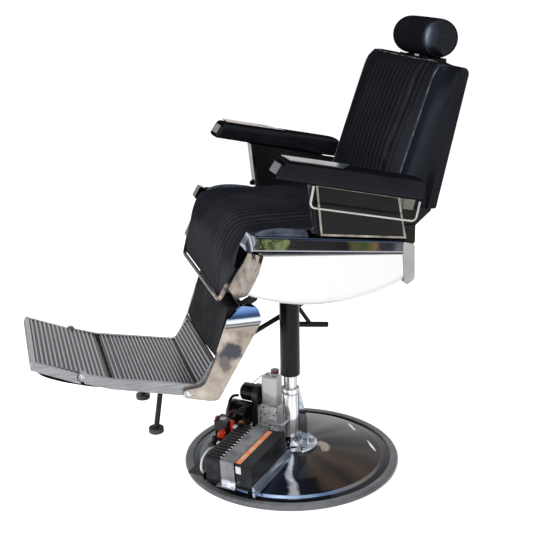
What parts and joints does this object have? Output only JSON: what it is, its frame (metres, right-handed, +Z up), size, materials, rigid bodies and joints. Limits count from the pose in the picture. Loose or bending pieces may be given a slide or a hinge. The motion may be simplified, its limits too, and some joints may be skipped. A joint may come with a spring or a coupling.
{
  "type": "hydraulic barber chair",
  "caption": "Reclining barber chair with padded arms, folding footrest, headrest and a battery pump unit beside its lifting column on a round base.",
  "frame": {"origin": "centre of the round base on the floor, on the axis of the lifting column", "axes": "+Z up, the chair faces -Y, its left side is +X"},
  "size_m": [0.712, 1.1516, 1.231],
  "materials": {
    "chrome": "polished",
    "satin_chrome": "worn polished",
    "steel": "satin",
    "black_steel": "satin black paint",
    "frame_steel": "matt black paint",
    "brown_steel": "dark brown paint",
    "aluminium": "satin",
    "cast_aluminium": "bright as cast",
    "rubber": "matt",
    "vinyl": "smooth black vinyl",
    "board": "painted board",
    "gloss_black": "gloss",
    "matt_black": "matt",
    "white_shell": "gloss white",
    "pale_plastic": "satin pale grey",
    "red_plastic": "gloss red"
  },
  "bodies": {
    "base": {"base_plate": "frame_steel", "base_cover": "chrome", "base_rubber_ring": "rubber", "column_flange": "chrome", "flange_bolts": "chrome", "cylinder_tube": "chrome", "gland_nut": "chrome", "battery": "matt_black", "battery_tray": "aluminium", "battery_strap": "steel", "control_box": "matt_black", "valve_block": "cast_aluminium", "fluid_reservoir": "pale_plastic", "reservoir_cap": "red_plastic", "pump_motor": "matt_black", "motor_saddle": "brown_steel", "pressure_hose": "rubber"},
    "isolator": {"isolator_knob": "red_plastic"},
    "ram": {"ram_tube": "chrome", "piston": "steel", "piston_seal": "rubber", "column_sleeve": "black_steel", "swivel_bearing": "steel"},
    "seat": {"swivel_hub": "black_steel", "frame_side_rails": "frame_steel", "frame_crossbars": "frame_steel", "seat_board": "board", "seat_cushion": "vinyl", "apron_board": "board", "front_trim": "satin_chrome", "side_bands": "chrome", "side_corner_caps": "chrome", "side_shells": "white_shell", "front_strips": "satin_chrome", "rear_caps": "steel", "armrest_pads": "vinyl", "armrest_plates": "steel", "arm_panels": "gloss_black", "arm_panel_frames": "satin_chrome", "towel_rail": "aluminium", "hinge_brackets": "black_steel", "legrest_hinge_brackets": "black_steel"},
    "back": {"back_cushion": "vinyl", "back_board": "vinyl", "back_hinge_arms": "black_steel", "recline_shaft": "steel", "headrest_guide": "black_steel"},
    "headrest": {"headrest_post": "chrome", "headrest_pad": "vinyl"},
    "legrest": {"leg_pad": "vinyl", "legrest_side_panels": "satin_chrome", "legrest_frame": "black_steel"},
    "push_rod": {"push_rod": "black_steel"},
    "footrest": {"footrest_frame": "aluminium", "footrest_rivets": "steel", "footrest_legs": "black_steel", "leg_feet": "rubber"},
    "flip_plate": {"flip_plate": "aluminium", "calf_pad": "vinyl"},
    "lever": {"release_lever": "black_steel"}
  },
  "joints": [
    {"name": "isolator_turn", "type": "hinge", "parent": "base", "child": "isolator", "pos_m": [0.0076, -0.20558, 0.10023], "axis": [0.0575, -0.0559, 0.9968], "range_deg": [0, 90]},
    {"name": "lift", "type": "slide", "parent": "base", "child": "ram", "axis": [0, 0, 1], "range_m": [-0.055, 0.1]},
    {"name": "swivel", "type": "hinge", "parent": "ram", "child": "seat", "pos_m": [0, 0, 0.558], "axis": [0, 0, 1], "continuous": true},
    {"name": "back_recline", "type": "hinge", "parent": "seat", "child": "back", "pos_m": [0, 0.235, 0.712], "axis": [1, 0, 0], "range_deg": [-50, 0]},
    {"name": "headrest_slide", "type": "slide", "parent": "back", "child": "headrest", "axis": [0, 0.3255, 0.9456], "range_m": [0, 0.08]},
    {"name": "legrest_lift", "type": "hinge", "parent": "seat", "child": "legrest", "pos_m": [0, -0.165, 0.515], "axis": [1, 0, 0], "range_deg": [-50, 0]},
    {"name": "push_rod_pivot", "type": "hinge", "parent": "legrest", "child": "push_rod", "pos_m": [-0.045, -0.135, 0.359], "axis": [1, 0, 0], "range_deg": [0, 50]},
    {"name": "footrest_fold", "type": "hinge", "parent": "legrest", "child": "footrest", "pos_m": [0, -0.324, 0.323], "axis": [1, 0, 0], "range_deg": [-35, 0]},
    {"name": "flip_plate_turn", "type": "hinge", "parent": "footrest", "child": "flip_plate", "pos_m": [0, -0.589, 0.401], "axis": [1, 0, 0], "range_deg": [-135, 0]},
    {"name": "lever_pull", "type": "hinge", "parent": "seat", "child": "lever", "pos_m": [-0.082, -0.038, 0.565], "axis": [1, 0, 0], "range_deg": [0, 15], "stiffness_Nm_per_rad": 3, "springref_deg": -8.59}
  ],
  "couplings": [
    {"joint": "legrest_lift", "follows": "back_recline", "ratio": 1},
    {"joint": "push_rod_pivot", "follows": "back_recline", "ratio": -1}
  ]
}
